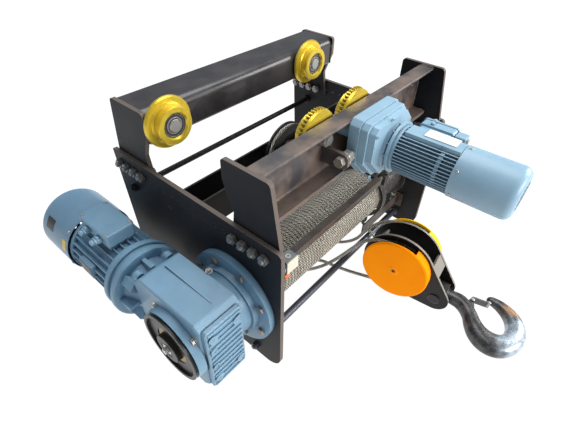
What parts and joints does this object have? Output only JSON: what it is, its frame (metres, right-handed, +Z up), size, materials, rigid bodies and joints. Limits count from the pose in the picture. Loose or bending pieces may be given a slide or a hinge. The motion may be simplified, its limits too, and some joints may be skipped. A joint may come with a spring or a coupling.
{
  "type": "wire rope hoist",
  "caption": "Low-headroom trolley wire rope hoist with rope drum, gearmotors, travel wheels, hook block and hook.",
  "frame": {"origin": "on the floor it stands on, half way between the side plates, under the runway girder's centre line", "axes": "+X along the drum from the hoist gear unit's plate to the free one, +Y across the trolley from the driven wheels to the idler wheels, +Z up"},
  "size_m": [1.339, 1.5979, 0.812],
  "materials": {
    "plate_black": "satin black paint",
    "beam_paint": "dark brown-black primer",
    "unit_blue": "light blue-grey paint",
    "cowl_grey": "grey-blue paint",
    "wheel_gold": "yellow-passivated turned steel",
    "steel": "bare turned steel",
    "dark_steel": "oiled dark steel",
    "rope": "greased stranded wire rope",
    "cover_orange": "gloss orange paint",
    "cover_yellow": "gloss yellow paint",
    "hook_forging": "worn forged steel",
    "bar_brown": "brown primer",
    "switch_grey": "cream-grey plastic",
    "lever_orange": "orange plastic",
    "seal_brass": "brass",
    "fan_black": "black plastic"
  },
  "bodies": {
    "frame": {"side_plate_left": "plate_black", "side_plate_right": "plate_black", "near_brackets": "plate_black", "far_brackets": "plate_black", "near_beam": "beam_paint", "far_beam": "beam_paint", "cross_channel": "plate_black", "return_sheave_pin": "steel", "tie_rod_near": "steel", "tie_rod_far": "plate_black", "frame_bolts": "dark_steel", "drum_bearing": "plate_black", "limit_bar": "bar_brown", "limit_switch_left": "switch_grey", "limit_switch_right": "switch_grey", "gear_output_flange": "unit_blue", "gear_housing": "unit_blue", "gear_cover": "unit_blue", "hollow_shaft_seal": "seal_brass", "input_bell": "unit_blue", "hoist_motor_body": "unit_blue", "hoist_terminal_box": "unit_blue", "hoist_terminal_lid": "unit_blue", "hoist_fan_cowl": "cowl_grey", "travel_gear_case": "unit_blue", "travel_gear_cover": "unit_blue", "travel_motor_body": "unit_blue", "travel_terminal_box": "unit_blue", "travel_fan_cowl": "cowl_grey", "torque_bolt": "steel", "idler_axles": "steel", "driven_axles": "steel", "rope_anchor": "dark_steel", "rope_turns": "rope", "rope_from_drum": "rope", "rope_to_return_sheave": "rope", "rope_from_return_sheave": "rope", "rope_to_anchor": "rope", "block_frame": "plate_black", "block_cover_near": "cover_orange", "block_cover_far": "cover_yellow", "block_pin": "steel"},
    "drum": {"drum": "dark_steel", "wound_rope": "rope"},
    "rope_guide": {"rope_guide": "dark_steel"},
    "return_sheave": {"return_sheave": "dark_steel"},
    "idler_wheel_left": {"idler_wheel_left": "wheel_gold"},
    "idler_wheel_right": {"idler_wheel_right": "wheel_gold"},
    "driven_wheel_left": {"driven_wheel_left": "wheel_gold"},
    "driven_wheel_right": {"driven_wheel_right": "wheel_gold"},
    "travel_pinion": {"travel_pinion": "steel"},
    "hoist_fan": {"hoist_fan": "fan_black"},
    "travel_fan": {"travel_fan": "fan_black"},
    "block_sheave_near": {"block_sheave_near": "dark_steel"},
    "block_sheave_far": {"block_sheave_far": "dark_steel"},
    "hook": {"crosshead": "dark_steel", "hook": "hook_forging"},
    "hook_latch": {"hook_latch": "steel"},
    "switch_lever_left": {"switch_lever_left": "lever_orange"},
    "switch_lever_right": {"switch_lever_right": "lever_orange"}
  },
  "joints": [
    {"name": "drum_spin", "type": "hinge", "parent": "frame", "child": "drum", "pos_m": [0, -0.161, 0.2645], "axis": [1, 0, 0], "range_deg": [-540, 540]},
    {"name": "rope_guide_slide", "type": "slide", "parent": "frame", "child": "rope_guide", "axis": [1, 0, 0], "range_m": [-0.0245, 0.0245]},
    {"name": "return_sheave_spin", "type": "hinge", "parent": "frame", "child": "return_sheave", "pos_m": [-0.05, 0.0125, 0.54], "axis": [0, 1, 0], "continuous": true},
    {"name": "idler_left_spin", "type": "hinge", "parent": "frame", "child": "idler_wheel_left", "pos_m": [-0.412, 0.1815, 0.726], "axis": [0, 1, 0], "continuous": true},
    {"name": "idler_right_spin", "type": "hinge", "parent": "frame", "child": "idler_wheel_right", "pos_m": [0.298, 0.1815, 0.726], "axis": [0, 1, 0], "continuous": true},
    {"name": "driven_left_spin", "type": "hinge", "parent": "frame", "child": "driven_wheel_left", "pos_m": [-0.159, -0.1815, 0.726], "axis": [0, 1, 0], "continuous": true},
    {"name": "driven_right_spin", "type": "hinge", "parent": "frame", "child": "driven_wheel_right", "pos_m": [0.045, -0.1815, 0.726], "axis": [0, 1, 0], "continuous": true},
    {"name": "travel_pinion_spin", "type": "hinge", "parent": "frame", "child": "travel_pinion", "pos_m": [-0.057, -0.2015, 0.726], "axis": [0, 1, 0], "continuous": true},
    {"name": "hoist_fan_spin", "type": "hinge", "parent": "frame", "child": "hoist_fan", "pos_m": [-0.6665, 0.47, 0.2645], "axis": [0, 1, 0], "continuous": true},
    {"name": "travel_fan_spin", "type": "hinge", "parent": "frame", "child": "travel_fan", "pos_m": [0.0525, -0.6, 0.663], "axis": [0, 1, 0], "continuous": true},
    {"name": "block_sheave_near_spin", "type": "hinge", "parent": "frame", "child": "block_sheave_near", "pos_m": [0.05936, -0.47344, 0.145], "axis": [0.9938, 0.1115, 0], "continuous": true},
    {"name": "block_sheave_far_spin", "type": "hinge", "parent": "frame", "child": "block_sheave_far", "pos_m": [0.19252, -0.4585, 0.145], "axis": [0.9938, 0.1115, 0], "continuous": true},
    {"name": "hook_tilt", "type": "hinge", "parent": "frame", "child": "hook", "pos_m": [0.14528, -0.63839, 0.056], "axis": [-0.9938, -0.1115, 0], "range_deg": [0, 28]},
    {"name": "latch_swing", "type": "hinge", "parent": "hook", "child": "hook_latch", "pos_m": [0.18956, -0.76404, 0.0489], "axis": [-0.0061, 0.0543, -0.9985], "range_deg": [0, 38], "stiffness_Nm_per_rad": 0.2, "springref_deg": -17.19},
    {"name": "switch_lever_left_swing", "type": "hinge", "parent": "frame", "child": "switch_lever_left", "pos_m": [-0.3955, -0.28, 0.362], "axis": [0, 1, 0], "range_deg": [-18, 18], "stiffness_Nm_per_rad": 0.1},
    {"name": "switch_lever_right_swing", "type": "hinge", "parent": "frame", "child": "switch_lever_right", "pos_m": [0.3955, -0.28, 0.362], "axis": [0, 1, 0], "range_deg": [-18, 18], "stiffness_Nm_per_rad": 0.1}
  ],
  "couplings": [
    {"joint": "rope_guide_slide", "follows": "drum_spin", "m_per_rad": 0.0025783},
    {"joint": "driven_right_spin", "follows": "driven_left_spin", "ratio": 1},
    {"joint": "travel_pinion_spin", "follows": "driven_left_spin", "ratio": -3.6364}
  ]
}
